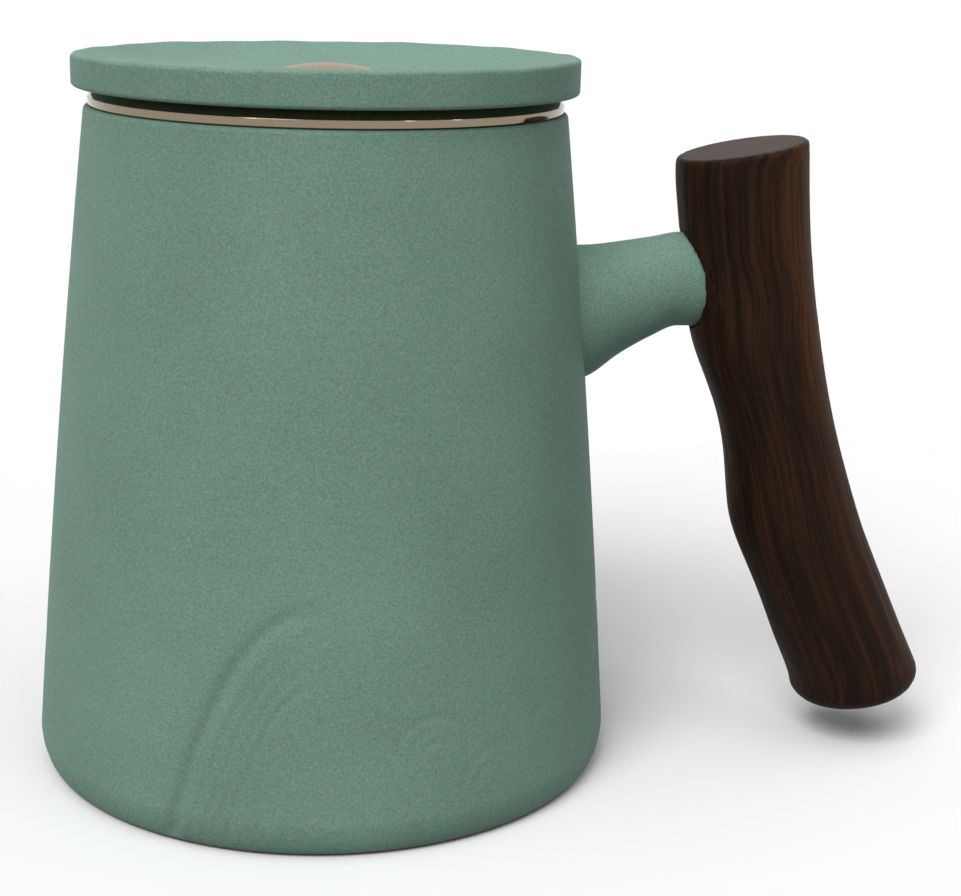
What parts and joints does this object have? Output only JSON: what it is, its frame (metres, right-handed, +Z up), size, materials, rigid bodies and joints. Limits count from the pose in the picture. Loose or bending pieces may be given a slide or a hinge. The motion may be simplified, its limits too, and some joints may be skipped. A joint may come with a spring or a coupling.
{
  "type": "lidded tea mug with infuser",
  "caption": "Tapered stoneware mug with a dished lid, a lift-out steel infuser and a branch-shaped wooden grip on a ceramic stub.",
  "frame": {"origin": "centre of the foot ring, in the plane the mug stands on", "axes": "+Z up along the mug's axis, +X from the axis towards the wooden grip"},
  "size_m": [0.1581, 0.0998, 0.1208],
  "materials": {
    "glazed_body": "matt, fine-grained grey-green glaze",
    "glazed_lid": "matt, fine-grained grey-green glaze",
    "dark_wood": "oiled dark hardwood with the grain along its length",
    "stud_steel": "plain turned steel",
    "insert_brass": "turned",
    "epoxy": "set adhesive",
    "polished_steel": "polished, warm champagne tone",
    "sieve_steel": "satin",
    "badge_gold": "satin gold"
  },
  "bodies": {
    "mug": {"mug_body": "glazed_body", "handle_stub": "glazed_body", "handle_grip": "dark_wood", "handle_stud": "stud_steel", "grip_insert": "insert_brass", "stud_adhesive": "epoxy"},
    "infuser": {"infuser_rim": "polished_steel", "infuser_wall": "sieve_steel", "infuser_base": "sieve_steel"},
    "lid": {"lid": "glazed_lid", "lid_badge": "badge_gold"}
  },
  "joints": [
    {"name": "infuser_lift", "type": "slide", "parent": "mug", "child": "infuser", "axis": [0, 0, 1], "range_m": [0, 0.095]},
    {"name": "lid_lift", "type": "slide", "parent": "infuser", "child": "lid", "axis": [0, 0, 1], "range_m": [0, 0.06]}
  ]
}
